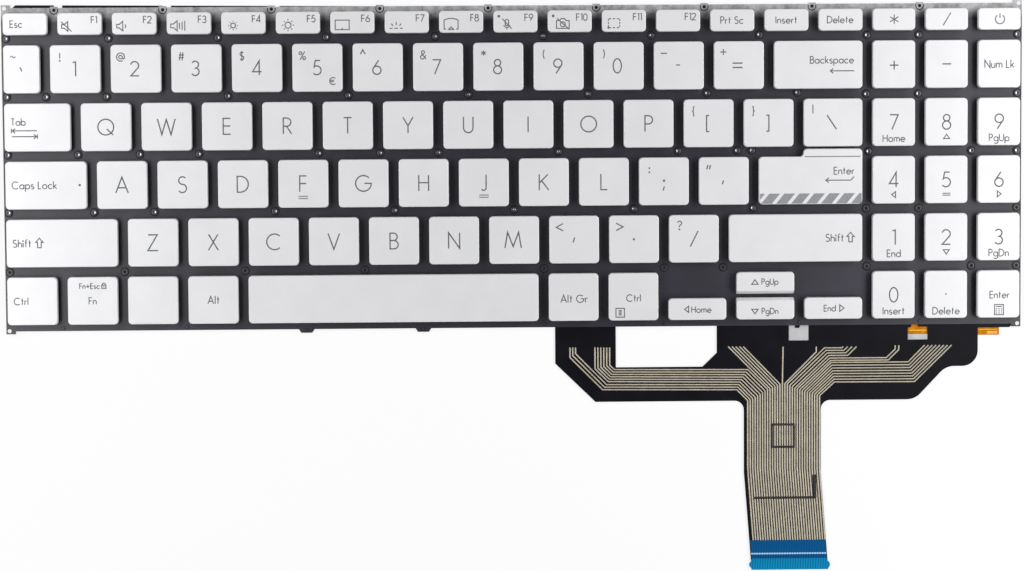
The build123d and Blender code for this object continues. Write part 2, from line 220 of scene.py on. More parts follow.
# Pressed steel heads, polished by the punch: they mirror the soft boxes as small glints
headSteel = newMaterial("polishedSteelHead", {"Metallic": 1, "Roughness": 0.25})
mottle(headSteel, 0.5, 3, [(0.3, "#8e8e94"), (0.7, "#b4b4ba")])

# Milky polyester sheet under the film's cut-outs, coloured a soft grey: painted shade inside the notches
notchShadeSheet = newMaterial("milkySheetPaintedShade", {"Roughness": 0.5, "Specular IOR Level": 0.3})
mottle(notchShadeSheet, 4, 3, [(0.3, "#a9aaac"), (0.7, "#bdbec0")])

# Copper track under the amber cover: a warm, brighter line
trackCopper = newMaterial("coveredCopperTrack", {"Roughness": 0.45, "Specular IOR Level": 0.2})
mottle(trackCopper, 1.5, 3, [(0.3, "#e0a030"), (0.7, "#efb54a")])

dressing = {
    "support_plate": plateCoat,
    "membrane_circuit": filmBlack,
    "tail_stiffener": stiffenerBlue,
    "led_strip": amberStrip,
    "light_guide": acrylicGuide,
    "reflector_film": reflectorWhite,
}
for node, material in dressing.items():
    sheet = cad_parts[node]
    sheet.data.materials.clear()
    sheet.data.materials.append(material)
print("materials made")


def pick(piece, kind, rule):
    # selects what the rule accepts, from the corners' places in millimetres
    bpy.ops.object.mode_set(mode="OBJECT")
    mesh = piece.data
    for group in (mesh.vertices, mesh.edges, mesh.polygons):
        group.foreach_set("select", [False] * len(group))
    for item in {"VERT": mesh.vertices, "EDGE": mesh.edges, "FACE": mesh.polygons}[kind]:
        corners = [item.index] if kind == "VERT" else item.vertices
        item.select = bool(rule([mesh.vertices[i].co / mm for i in corners]))
    bpy.context.tool_settings.mesh_select_mode = [kind == k for k in ("VERT", "EDGE", "FACE")]
    bpy.ops.object.mode_set(mode="EDIT")


def smooth(piece, degrees=35):
    bpy.ops.object.mode_set(mode="OBJECT")
    bpy.ops.object.shade_smooth_by_angle(angle=math.radians(degrees))
    return piece


def settle(piece):
    bpy.ops.object.transform_apply(location=True, rotation=True, scale=True)
    return piece


def addBlock(x, y, low, width, depth, height):
    bpy.ops.mesh.primitive_cube_add(size=1, location=(x * mm, y * mm, (low + height / 2) * mm))
    block = bpy.context.object
    block.scale = (width * mm, depth * mm, height * mm)
    return settle(block)


def shift(piece, x, y):
    piece.data.transform(Matrix.Translation((x * mm, y * mm, 0)))
    return piece


def copyTo(model, x, y, turn=0):
    twin = model.copy()
    twin.data = model.data.copy()
    twin.data.transform(Matrix.Translation((x * mm, y * mm, 0)) @ Matrix.Rotation(turn, 4, "Z"))
    scene.collection.objects.link(twin)
    return twin


def joinAs(name, parts):
    bpy.ops.object.select_all(action="DESELECT")
    for part in parts:
        part.select_set(True)
    bpy.context.view_layer.objects.active = parts[0]
    bpy.ops.object.join()
    parts[0].name = parts[0].data.name = name
    return parts[0]


def discard(*models):
    for model in models:
        bpy.data.objects.remove(model)


def meshFrom(curve):
    drawing = bpy.data.objects.new(curve.name, curve)
    scene.collection.objects.link(drawing)
    bpy.ops.object.select_all(action="DESELECT")
    drawing.select_set(True)
    bpy.context.view_layer.objects.active = drawing
    bpy.ops.object.convert(target="MESH")
    return bpy.context.object


def drawStrokes(strokes, level, thick, material):
    # strokes are (points, width) in millimetres: flat lines of ink that swell to half of thick above level
    curve = bpy.data.curves.new("strokes", "CURVE")
    curve.dimensions, curve.fill_mode = "2D", "NONE"
    curve.bevel_depth, curve.bevel_resolution, curve.use_fill_caps = 0.5, 0, True
    for points, width in strokes:
        closed = math.dist(points[0], points[-1]) < 1e-6
        run = points[:-1] if closed else points
        line = curve.splines.new("POLY")
        line.points.add(len(run) - 1)
        for point, (x, y) in zip(line.points, run):
            point.co, point.radius = (x, y, 0, 1), width
        line.use_cyclic_u = closed
    drawing = meshFrom(curve)
    drawing.location = (0, 0, level * mm)
    drawing.scale = (mm, mm, mm * thick / max(width for _, width in strokes))
    settle(drawing)
    drawing.data.materials.append(material)
    return drawing


def arc(x, y, radius, start, end, tall=None):
    count = max(3, round(abs(end - start) / 20))
    turns = [math.radians(start + (end - start) * n / count) for n in range(count + 1)]
    return [(x + radius * math.cos(t), y + (tall or radius) * math.sin(t)) for t in turns]


def dot(x, y, radius=0.045):
    return arc(x, y, radius, 0, 360)


# Thin geometric letters, drawn with one pen: glyph width, then its lines, for a cap height of 1
ring = arc(0.5, 0.5, 0.5, 0, 360)
bowl = arc(0.3, 0.3, 0.3, 0, 360)
hump = [*arc(0.23, 0.37, 0.23, 180, 0), (0.46, 0)]
flag = [(0, 0), (0, 1), *arc(0.22, 0.74, 0.26, 90, -90), (0, 0.48)]
lowerB = [(0, 0.53), (0.24, 0.53), *arc(0.25, 0.265, 0.265, 90, -90)]
narrowHumps = [[*arc(x, 0.41, 0.19, 180, 0), (x + 0.19, 0)] for x in (0.19, 0.57)]
atTail = [*arc(0.5, 0.45, 0.5, -60, -330), *arc(0.84, 0.36, 0.12, 0, -170)]
dollarCurve = [*arc(0.27, 0.74, 0.22, 40, 250), *arc(0.25, 0.27, 0.24, 70, -145)]
hashStems = [[(0.24, 1), (0.12, 0)], [(0.54, 1), (0.42, 0)]]
ampersand = [(0.68, 0), (0.16, 0.66), *arc(0.33, 0.82, 0.18, 205, -35), (0.12, 0.4)]
leftBrace = [(0.26, 1.1), (0.14, 1.02), (0.14, 0.62), (0.02, 0.5), (0.14, 0.38), (0.14, -0.02), (0.26, -0.1)]
rightBrace = [(0, 1.1), (0.12, 1.02), (0.12, 0.62), (0.24, 0.5), (0.12, 0.38), (0.12, -0.02), (0, -0.1)]
glyphs = {
    " ": (0.2, []),
    "A": (0.78, [[(0, 0), (0.39, 1), (0.78, 0)], [(0.14, 0.33), (0.64, 0.33)]]),
    "B": (0.5, [[*lowerB, (0, 0), (0, 1), *arc(0.22, 0.765, 0.235, 90, -90)]]),
    "C": (0.87, [arc(0.5, 0.5, 0.5, 48, 312)]),
    "D": (0.7, [[(0, 0), (0, 1), *arc(0.2, 0.5, 0.5, 90, -90), (0, 0)]]),
    "E": (0.46, [[(0.46, 1), (0, 1), (0, 0), (0.46, 0)], [(0, 0.52), (0.44, 0.52)]]),
    "F": (0.43, [[(0.43, 1), (0, 1), (0, 0)], [(0, 0.52), (0.4, 0.52)]]),
    "G": (1.0, [[*arc(0.5, 0.5, 0.5, 45, 360), (0.56, 0.5)]]),
    "H": (0.62, [[(0, 0), (0, 1)], [(0.62, 0), (0.62, 1)], [(0, 0.52), (0.62, 0.52)]]),
    "I": (0.0, [[(0, 0), (0, 1)]]),
    "J": (0.28, [[(0.28, 1), *arc(0.13, 0.16, 0.15, 0, -150)]]),
    "K": (0.6, [[(0, 0), (0, 1)], [(0.55, 1), (0.02, 0.47)], [(0.15, 0.59), (0.6, 0)]]),
    "L": (0.4, [[(0, 1), (0, 0), (0.4, 0)]]),
    "M": (1.04, [[(0, 0), (0.17, 1), (0.52, 0.1), (0.87, 1), (1.04, 0)]]),
    "N": (0.7, [[(0, 0), (0, 1), (0.7, 0), (0.7, 1)]]),
    "O": (1.0, [ring]),
    "P": (0.48, [flag]),
    "Q": (1.0, [ring, [(0.56, 0.38), (0.96, 0)]]),
    "R": (0.5, [flag, [(0.2, 0.48), (0.52, 0)]]),
    "S": (0.52, [[*arc(0.27, 0.76, 0.24, 40, 250), *arc(0.25, 0.265, 0.265, 70, -145)]]),
    "T": (0.5, [[(0, 1), (0.5, 1)], [(0.25, 1), (0.25, 0)]]),
    "U": (0.6, [[(0, 1), *arc(0.3, 0.3, 0.3, 180, 360), (0.6, 1)]]),
    "V": (0.72, [[(0, 1), (0.36, 0), (0.72, 1)]]),
    "W": (1.12, [[(0, 1), (0.27, 0), (0.56, 0.95), (0.85, 0), (1.12, 1)]]),
    "X": (0.62, [[(0.02, 1), (0.62, 0)], [(0.6, 1), (0, 0)]]),
    "Y": (0.64, [[(0, 1), (0.32, 0.46), (0.64, 1)], [(0.32, 0.46), (0.32, 0)]]),
    "Z": (0.64, [[(0.02, 1), (0.6, 1), (0, 0), (0.64, 0)]]),
    "0": (0.58, [arc(0.29, 0.5, 0.29, 0, 360, 0.5)]),
    "1": (0.2, [[(0, 0.95), (0.2, 1), (0.2, 0)]]),
    "2": (0.56, [[*arc(0.27, 0.72, 0.28, 165, -38), (0, 0), (0.56, 0)]]),
    "3": (0.53, [[*arc(0.25, 0.76, 0.24, 150, -80), *arc(0.25, 0.265, 0.27, 80, -150)]]),
    "4": (0.62, [[(0.46, 0), (0.46, 1), (0, 0.24), (0.62, 0.24)]]),
    "5": (0.54, [[(0.48, 1), (0.14, 1), (0.06, 0.55), *arc(0.23, 0.31, 0.31, 112, -140)]]),
    "6": (0.58, [[(0.42, 1), (0.05, 0.452)], arc(0.29, 0.29, 0.29, 0, 360)]),
    "7": (0.56, [[(0, 1), (0.56, 1), (0.14, 0)]]),
    "8": (0.54, [arc(0.27, 0.77, 0.22, -90, 270), arc(0.27, 0.27, 0.28, 90, 450)]),
    "9": (0.58, [[(0.16, 0), (0.53, 0.548)], arc(0.29, 0.71, 0.29, 0, 360)]),
    "a": (0.6, [bowl, [(0.6, 0.6), (0.6, 0)]]),
    "b": (0.6, [bowl, [(0, 1.05), (0, 0)]]),
    "c": (0.52, [arc(0.3, 0.3, 0.3, 45, 315)]),
    "d": (0.6, [bowl, [(0.6, 1.05), (0.6, 0)]]),
    "e": (0.6, [[(0.02, 0.31), *arc(0.3, 0.3, 0.3, 2, 318)]]),
    "f": (0.31, [[(0.12, 0), *arc(0.27, 0.87, 0.15, 180, 60)], [(0, 0.61), (0.31, 0.61)]]),
    "g": (0.6, [bowl, [(0.6, 0.6), *arc(0.3, -0.06, 0.3, 0, -150)]]),
    "h": (0.46, [[(0, 1.05), (0, 0)], hump]),
    "i": (0.0, [[(0, 0.6), (0, 0)], dot(0, 0.85)]),
    "k": (0.44, [[(0, 1.05), (0, 0)], [(0.4, 0.6), (0.02, 0.26)], [(0.12, 0.35), (0.44, 0)]]),
    "l": (0.0, [[(0, 1.05), (0, 0)]]),
    "m": (0.76, [[(0, 0.6), (0, 0)], *narrowHumps]),
    "n": (0.46, [[(0, 0.6), (0, 0)], hump]),
    "o": (0.6, [bowl]),
    "p": (0.6, [bowl, [(0, 0.6), (0, -0.36)]]),
    "r": (0.27, [[(0, 0.6), (0, 0)], arc(0.2, 0.38, 0.2, 180, 65)]),
    "s": (0.4, [[*arc(0.2, 0.45, 0.18, 45, 250, 0.15), *arc(0.19, 0.155, 0.2, 70, -140, 0.16)]]),
    "t": (0.3, [[(0.13, 0.94), (0.13, 0)], [(0, 0.61), (0.3, 0.61)]]),
    "u": (0.46, [[(0, 0.6), *arc(0.23, 0.23, 0.23, 180, 360), (0.46, 0.6)], [(0.46, 0.24), (0.46, 0)]]),
    "!": (0.0, [[(0, 1), (0, 0.32)], dot(0, 0.04)]),
    "@": (1.0, [atTail, arc(0.48, 0.45, 0.22, 0, 360)]),
    "#": (0.66, [*hashStems, [(0.04, 0.66), (0.66, 0.66)], [(0, 0.34), (0.62, 0.34)]]),
    "$": (0.52, [dollarCurve, [(0.26, 1.1), (0.26, -0.1)]]),
    "%": (0.8, [dot(0.17, 0.8, 0.17), dot(0.63, 0.2, 0.17), [(0.68, 1), (0.12, 0)]]),
    "^": (0.46, [[(0, 0.6), (0.23, 1), (0.46, 0.6)]]),
    "&": (0.7, [[*ampersand, *arc(0.25, 0.23, 0.23, 135, 330), (0.68, 0.46)]]),
    "*": (0.6, [[(0.3, 1), (0.3, 0.36)], [(0.02, 0.84), (0.58, 0.52)], [(0.02, 0.52), (0.58, 0.84)]]),
    "(": (0.13, [arc(1.0, 0.5, 1.0, 150, 210, 1.1)]),
    ")": (0.13, [arc(-0.87, 0.5, 1.0, 30, -30, 1.1)]),
    "_": (0.6, [[(0, 0), (0.6, 0)]]),
    "-": (0.44, [[(0, 0.45), (0.44, 0.45)]]),
    "+": (0.66, [[(0, 0.45), (0.66, 0.45)], [(0.33, 0.78), (0.33, 0.12)]]),
    "=": (0.6, [[(0, 0.6), (0.6, 0.6)], [(0, 0.34), (0.6, 0.34)]]),
    "{": (0.26, [leftBrace]),
    "}": (0.26, [rightBrace]),
    "[": (0.2, [[(0.2, 1.1), (0, 1.1), (0, -0.1), (0.2, -0.1)]]),
    "]": (0.2, [[(0, 1.1), (0.2, 1.1), (0.2, -0.1), (0, -0.1)]]),
    "|": (0.0, [[(0, 1.05), (0, -0.05)]]),
    "\\": (0.6, [[(0, 0.95), (0.6, 0.05)]]),
    "/": (0.5, [[(0.5, 1.0), (0, 0)]]),
    ":": (0.0, [dot(0, 0.62), dot(0, 0.12)]),
    ";": (0.12, [dot(0.08, 0.55), [(0.1, 0.14), (0.02, -0.16)]]),
    '"': (0.3, [[(0.08, 1), (0, 0.7)], [(0.26, 1), (0.18, 0.7)]]),
    "'": (0.1, [[(0.08, 0.6), (0, 0.3)]]),
    "<": (0.6, [[(0.6, 0.84), (0, 0.52), (0.6, 0.2)]]),
    ">": (0.6, [[(0, 0.84), (0.6, 0.52), (0, 0.2)]]),
    ",": (0.12, [[(0.12, 0.66), (0, 0.3)]]),
    ".": (0.0, [dot(0, 0.5, 0.035)]),
    "?": (0.46, [[*arc(0.23, 0.76, 0.23, 170, -50), (0.2, 0.42), (0.2, 0.28)], dot(0.2, 0.04)]),
    "~": (0.6, [[*arc(0.15, 0.42, 0.16, 165, 40), *arc(0.44, 0.58, 0.16, 220, 345)]]),
    "`": (0.14, [[(0, 0.55), (0.14, 0.25)]]),
    "€": (0.75, [arc(0.5, 0.5, 0.48, 50, 310), [(0, 0.6), (0.62, 0.6)], [(0, 0.4), (0.58, 0.4)]]),
}


def rectangle(x, y):
    return [(-x, -y), (-x, y), (x, y), (x, -y), (-x, -y)]


# Small pictures on the caps, in millimetres from their middles
speaker = [(-1.5, -0.55), (-1.5, 0.55), (-0.7, 0.55), (0.4, 1.5), (0.4, -1.5), (-0.7, -0.55), (-1.5, -0.55)]
rays = [(math.cos(math.radians(45 * n)), math.sin(math.radians(45 * n))) for n in range(8)]
keyboardLine = [[(-2.1, -1.2), (-1.2, -1.2)], [(-0.6, -1.2), (0.6, -1.2)], [(1.2, -1.2), (2.1, -1.2)]]
screenSide = [(-1.6, -1.5), (-2.2, -1.5), (-2.2, 1.2)]
cameraLeft = [(-1.9, -1.4), (-1.9, 0.9), (-1, 0.9), (-0.5, 1.5)]
snipRows = [[(x, y), (x + 0.7, y)] for x in (-1.6, -0.4, 0.8) for y in (-1.3, 1.4)]
snipSides = [[(x, y), (x, y + 0.6)] for x in (-1.7, 1.7) for y in (-1.1, -0.2, 0.7)]
lockBody = [(-0.6, -0.7), (-0.6, 0.2), (0.6, 0.2), (0.6, -0.7), (-0.6, -0.7)]
buttons = [[(x - 0.22, y), (x + 0.22, y)] for x in (-0.8, 0, 0.8) for y in (0.25, -0.4, -1.05)]
shiftLeft = [(0, 1.75), (-1.3, 0.3), (-0.62, 0.3), (-0.62, -1.55)]
icons = {
    "mute": [speaker, [(-1.7, 1.5), (1.6, -1.6)]],
    "quiet": [speaker, arc(0.5, 0, 0.8, 45, -45)],
    "loud": [speaker, [(1.1, 0.9), (1.1, -0.9)], [(1.9, 1.2), (1.9, -1.2)], [(2.7, 1.5), (2.7, -1.5)]],
    "dim": [dot(0, 0, 0.75), *[[(1.2 * x, 1.2 * y), (1.5 * x, 1.5 * y)] for x, y in rays]],
    "bright": [dot(0, 0, 0.95), *[[(1.45 * x, 1.45 * y), (1.9 * x, 1.9 * y)] for x, y in rays]],
    "touchpad": [rectangle(2.2, 1.5), [(0, -1.5), (0, -0.9)]],
    "keylight": [
        *keyboardLine,
        [(-1.6, 0.3), (-1, -0.4)],
        [(0, 0.9), (0, -0.2)],
        [(1.6, 0.3), (1, -0.4)],
    ],
    "display": [
        [*screenSide, *arc(0, -3, 4.9, 116, 64), (2.2, 1.2), (2.2, -1.5), (1.6, -1.5)],
        [(0, -0.8), (-0.8, -1.6), (0.8, -1.6), (0, -0.8)],
    ],
    "micOff": [
        [(-0.5, 0), *arc(0, 0.8, 0.5, 180, 0), *arc(0, 0, 0.5, 0, -180)],
        arc(0, 0, 1, 200, 340),
        [(0, -1), (0, -1.6)],
        [(-1.3, 1.5), (1.4, -1.4)],
    ],
    "cameraOff": [
        [*cameraLeft, (0.5, 1.5), (1, 0.9), (1.9, 0.9), (1.9, -1.4), (-1.9, -1.4)],
        dot(0, -0.2, 0.75),
        [(-1.7, 1.6), (1.9, -1.7)],
    ],
    "snip": [*snipRows, *snipSides, [(-2.1, -1.3), (-1.3, -1.3)], [(-1.7, -0.9), (-1.7, -1.7)]],
    "lamp": [dot(0, 0, 0.08), dot(0, 0, 0.22)],
    "lock": [lockBody, [(-0.4, 0.2), *arc(0, 0.4, 0.4, 180, 0), (0.4, 0.2)], [(0, -0.1), (0, -0.4)]],
    "calculator": [rectangle(1.4, 1.6), [(-0.9, 1), (0.9, 1)], *buttons],
    "menu": [rectangle(1.35, 1.4), *[[(-0.5, y), (0.5, y)] for y in (0.7, 0.25, -0.25, -0.7)]],
    "power": [arc(0, -0.15, 1.55, 55, -235), [(0, 1.75), (0, 0.1)]],
    "up": [[(-1.15, -0.75), (0, 0.85), (1.15, -0.75), (-1.15, -0.75)]],
    "down": [[(-1.15, 0.75), (0, -0.85), (1.15, 0.75), (-1.15, 0.75)]],
    "left": [[(0.6, 1.1), (-0.85, 0), (0.6, -1.1), (0.6, 1.1)]],
    "right": [[(-0.6, 1.1), (0.85, 0), (-0.6, -1.1), (-0.6, 1.1)]],
    "shift": [[*shiftLeft, (0.62, -1.55), (0.62, 0.3), (1.3, 0.3), (0, 1.75)]],
    "return": [[(4.5, 1.1), (3.5, 0), (-4.5, 0)], [(-3.5, 0.75), (-4.5, 0), (-3.5, -0.75)]],
    "back": [[(3.8, 0), (-3.8, 0)], [(-2.9, 0.75), (-3.8, 0), (-2.9, -0.75)]],
    "tabBack": [[(4.1, 0), (-3.9, 0)], [(-3, 0.75), (-3.9, 0), (-3, -0.75)], [(-4.2, 0.75), (-4.2, -0.75)]],
    "tabForward": [[(-4.1, 0), (3.9, 0)], [(3, 0.75), (3.9, 0), (3, -0.75)], [(4.2, 0.75), (4.2, -0.75)]],
    "bars": [[(-1.5, 0.35), (1.5, 0.35)], [(-1.5, -0.35), (1.5, -0.35)]],
    "slash": [[(1.2, 2), (-1.2, -2)]],
    "star": [[(0, 1.35), (0, -1.35)], [(-1.2, 0.7), (1.2, -0.7)], [(-1.2, -0.7), (1.2, 0.7)]],
}

# What each cap carries: word or picture, its size in mm or scale, the side that its place is measured from
# (left, right or centre), and its place in mm
legends = {
    "esc": [("Esc", 2.1, "L", 2.45, 0)],
    "print_screen": [("Prt Sc", 2.15, "C", -0.2, 0)],
    "insert": [("Insert", 2.15, "C", -0.1, 0)],
    "delete": [("Delete", 2.12, "C", -0.2, 0)],
    "grave": [("~", 2.6, "C", -2.6, 3.9), ("`", 4.2, "C", 0, 0.4)],
    "minus": [("-", 2.9, "C", -0.3, 0.3), ("_", 3.3, "C", -4.8, 5.5)],
    "equals": [("=", 5.3, "C", -0.5, 0.1), ("+", 2.9, "C", -5, 4.3)],
    "backspace": [("Backspace", 2.15, "R", 2.95, 1.5), ("back", 1, "R", 6.5, -2)],
    "tab": [
        ("Tab", 2.1, "L", 2.3, 1.75),
        ("tabBack", 0.97, "L", 6.4, -1),
        ("tabForward", 0.97, "L", 6.4, -2.85),
    ],
    "left_bracket": [("[", 4.2, "C", -0.3, -0.1), ("{", 2.6, "C", -4.9, 3.8)],
    "right_bracket": [("]", 4.2, "C", -0.4, -0.1), ("}", 2.6, "C", -4.9, 3.8)],
    "backslash": [("\\", 5, "C", -0.5, 0.1), ("|", 2.6, "C", -6.4, 4.3)],
    "caps_lock": [("Caps Lock", 2.25, "L", 2.2, 0.1), ("lamp", 1, "R", 2.2, 0.1)],
    "semicolon": [(";", 4.4, "C", 0, 0), (":", 2.6, "C", -4.6, 3.9)],
    "quote": [("'", 4.4, "C", -0.2, -0.2), ('"', 4.6, "C", -4.8, 2.8)],
    "enter": [("Enter", 2.2, "R", 2.75, 3.0), ("return", 1, "R", 7.25, 0)],
    "left_shift": [("Shift", 2.3, "L", 2.2, 0), ("shift", 0.9, "L", 10.5, 0.1)],
    "right_shift": [("Shift", 2.3, "R", 6.1, 0), ("shift", 0.9, "R", 3.85, 0.1)],
    "comma": [(",", 4.4, "C", 0, 0), ("<", 3.6, "C", -4.6, 3.9)],
    "period": [(".", 4.4, "C", 0, 0), (">", 3.6, "C", -4.6, 3.9)],
    "slash": [("/", 5, "C", 0, 0), ("?", 2.8, "C", -4.6, 4.3)],
    "left_ctrl": [("Ctrl", 2.15, "L", 2.2, 0)],
    "fn": [("Fn", 2.1, "C", 0, 0), ("Fn+Esc", 1.6, "C", -0.9, 4.7), ("lock", 1.1, "C", 3.6, 4.75)],
    "system": [],
    "left_alt": [("Alt", 2.35, "C", 0.1, 0)],
    "space": [],
    "right_alt": [("Alt Gr", 2.35, "C", 0.1, -0.5)],
    "right_ctrl": [("Ctrl", 2.15, "C", 0, -0.4), ("menu", 1, "C", -4.3, -5.05)],
    "arrow_left": [("left", 0.9, "C", -3.4, 0), ("Home", 1.95, "C", 1.2, -0.1)],
    "arrow_up": [("up", 0.9, "C", -3.4, 0.25), ("PgUp", 1.8, "C", 1.4, 0.4)],
    "arrow_down": [("down", 0.9, "C", -3.4, -0.85), ("PgDn", 1.8, "C", 1.4, -0.75)],
    "arrow_right": [("End", 1.9, "C", -1.2, 0), ("right", 0.95, "C", 2.55, 0)],
    "pad_0_0": [("star", 1.1, "C", 0, 0)],
    "pad_0_1": [("slash", 1, "C", 0, 0)],
    "pad_0_2": [("power", 0.95, "C", 0.1, 0)],
    "pad_1_0": [("+", 4.2, "C", 0, -0.1)],
    "pad_1_1": [("-", 6.2, "C", 0, 0.3)],
    "pad_1_2": [("Num Lk", 2.35, "C", 0, -0.1)],
    "pad_5_1": [(".", 2.6, "C", 0, 0.1), ("Delete", 2.2, "C", 0, -5.2)],
    "pad_5_2": [("Enter", 2.15, "C", 0.35, -0.2), ("calculator", 1.02, "C", 0.2, -5)],
}
# Function keys: picture, its scale, and its place from the cap's left edge in mm
functionMarks = [
    ("mute", 1.02, 3),
    ("quiet", 1, 3.1),
    ("loud", 1.05, 3),
    ("dim", 1, 3.85),
    ("bright", 1, 3.95),
    ("touchpad", 1, 3.85),
    ("keylight", 0.97, 3.7),
    ("display", 1, 3.85),
    ("micOff", 1.1, 4.3),
    ("cameraOff", 1.05, 4.8),
    ("snip", 1.05, 3.85),
    None,
]
lampKeys = (9, 10)  # these two also carry a small lamp
for number, mark in enumerate(functionMarks, 1):
    legends[f"f{number}"] = [(f"F{number}", 2.1, "R", 1.5, 1.2)]
    if mark:
        legends[f"f{number}"].append((mark[0], mark[1], "L", mark[2], -0.8))
    if number in lampKeys:
        legends[f"f{number}"].append(("lamp", 1.3, "L", 1.75, 1.65))
digitPlaces = {"4": 0.1, "5": 0, "7": -0.45, "0": -0.5}  # the other digits stand at -0.25
shiftedSizes = {"^": 3.4}  # the other signs are 2.6 mm tall
numberNames = "one two three four five six seven eight nine zero".split()
for name, digit, shifted in zip(numberNames, "1234567890", "!@#$%^&*()"):
    sign = (shifted, shiftedSizes.get(shifted, 2.6), "C", -4.65, 3.8)
    legends[name] = [(digit, 4.5, "C", digitPlaces.get(digit, -0.25), 0), sign]
legends["five"].append(("€", 2.3, "C", 4.7, -4.25))
for letter in "qwertyuiopasdfghjklzxcvbnm":
    legends[letter] = [(letter.upper(), 5.0, "C", -0.35 if letter == "m" else 0, 0)]
for name in "fj":
    legends[name].append(("bars", 1, "C", 0, -4.3))
padNames = [f"pad_{row}_{column}" for row in (2, 3, 4) for column in range(3)] + ["pad_5_0"]
padMarks = ["Home", "up", "PgUp", "left", "bars", "right", "End", "down", "PgDn", "Insert"]
for name, digit, under in zip(padNames, "7894561230", padMarks):
    word, picture = (under, 2.2, "C", 0, -5.1), (under, 0.85, "C", 0, -4.7)
    legends[name] = [(digit, 4.65, "C", 0, 0), picture if under in icons else word]

pen = {"icon": 0.33, "thinnest": 0.2, "growth": 0.052, "fullSize": 4, "letterGap": 0.2, "stemGap": 0.05}


def markStrokes(marks, width):
    strokes = []
    for what, size, side, x, y in marks:
        lines, wide, stroke = icons.get(what, []), 0, pen["icon"]
        if not lines:
            stroke = pen["thinnest"] + pen["growth"] * min(size, pen["fullSize"])
            for letter in what:
                advance, parts = glyphs[letter]
                lines = lines + [[(wide + px, py - 0.5) for px, py in part] for part in parts]
                wide += advance + pen["letterGap"] + (pen["stemGap"] if advance < 0.2 else 0)
            wide = (wide - pen["letterGap"]) * size
        left = {"L": x - width / 2, "R": width / 2 - x - wide, "C": x - wide / 2}[side]
        strokes += [([(left + size * px, y + size * py) for px, py in line], stroke) for line in lines]
    return strokes


keycap = {
    "bottom": 2.55,
    "top": 4.235,
    "corner": 1.2,
    "slopedCorner": 0.4,
    "draft": 0.12,
    "rim": 0.16,
    "wall": 0.8,
    "ceiling": 3.55,
    "slope": 0.8,
    "inkThick": 0.028,
}


def modelKeycap(width, depth, lean=0, step=None):
    # lean slopes the front edge (-1) or the rear edge (1); step is a rear corner's (left edge, reach)
    bottom, top, draft = keycap["bottom"], keycap["top"], keycap["draft"]
    cap = addBlock(0, 0, bottom, width, depth, top - bottom)
    if step:
        left, reach = step
        pick(cap, "FACE", lambda c: True)
        bpy.ops.mesh.bisect(plane_co=(left * mm, 0, 0), plane_no=(1, 0, 0))
        pick(cap, "FACE", lambda c: all(p.y > depth / 2 - 0.1 and p.x > left - 0.1 for p in c))
        bpy.ops.mesh.extrude_region_move(TRANSFORM_OT_translate={"value": (0, reach * mm, 0)})
        pick(cap, "FACE", lambda c: True)
        bpy.ops.mesh.dissolve_limited(angle_limit=math.radians(1))
    if lean:
        pick(cap, "VERT", lambda c: c[0].z > top - 0.1 and c[0].y * lean > 0)
        bpy.ops.transform.translate(value=(0, -lean * keycap["slope"] * mm, 0))
    pick(cap, "EDGE", lambda c: abs(c[0].z - c[1].z) > 0.5 and c[0].y * lean <= 0)
    bpy.ops.mesh.bevel(offset=keycap["corner"] * mm, segments=4, affect="EDGES")
    if lean:  # the sloped end keeps tighter corners
        sloped = depth / 2 - 1
        pick(cap, "EDGE", lambda c: abs(c[0].z - c[1].z) > 0.5 and min(p.y * lean for p in c) > sloped)
        bpy.ops.mesh.bevel(offset=keycap["slopedCorner"] * mm, segments=2, affect="EDGES")
    pick(cap, "VERT", lambda c: c[0].z > top - 0.1)
    shrink = (1 - 2 * draft / width, 1 - 2 * draft / depth, 1)
    bpy.ops.transform.resize(value=shrink, center_override=(0, 0, 0))
    pick(cap, "FACE", lambda c: max(p.z for p in c) < bottom + 0.1)
    bpy.ops.mesh.inset(thickness=keycap["wall"] * mm)
    hollow = (keycap["ceiling"] - bottom) * mm
    bpy.ops.mesh.extrude_region_move(TRANSFORM_OT_translate={"value": (0, 0, hollow)})
    pick(cap, "EDGE", lambda c: min(c[0].z, c[1].z) > top - 0.1)
    bpy.ops.mesh.bevel(offset=keycap["rim"] * mm, segments=3, affect="EDGES")
    cap.data.materials.append(capPaint)
    smooth(cap)
    pick(cap, "FACE", lambda c: min(p.z for p in c) > top - 0.01)
    bpy.ops.mesh.faces_shade_flat()  # keeps the broad top even, with the rim rounded round it
    bpy.ops.object.mode_set(mode="OBJECT")
    return cap


# Function row, number row and pad are laid out here, because they share one CAD node
grid = {
    "left": -160.825,
    "right": 113.724,
    "gapX": 3.15,
    "keyDepth": 15.25,
    "slimDepth": 7.0,
    "pitch": 19.05,
    "graveShare": 0.769,  # of the pitch
    "padPitch": 16.75,
    "padColumns": 3,
    "rows": [45.95, 31.775, 13.475, -4.825, -23.125, -41.425],
}
fixedKeys = []


def addFixedKey(name, row, slotLeft, slot):
    width = slot - grid["gapX"]
    depth = grid["slimDepth"] if row == 0 else grid["keyDepth"]
    fixedKeys.append((name, slotLeft + width / 2, grid["rows"][row], width, depth))


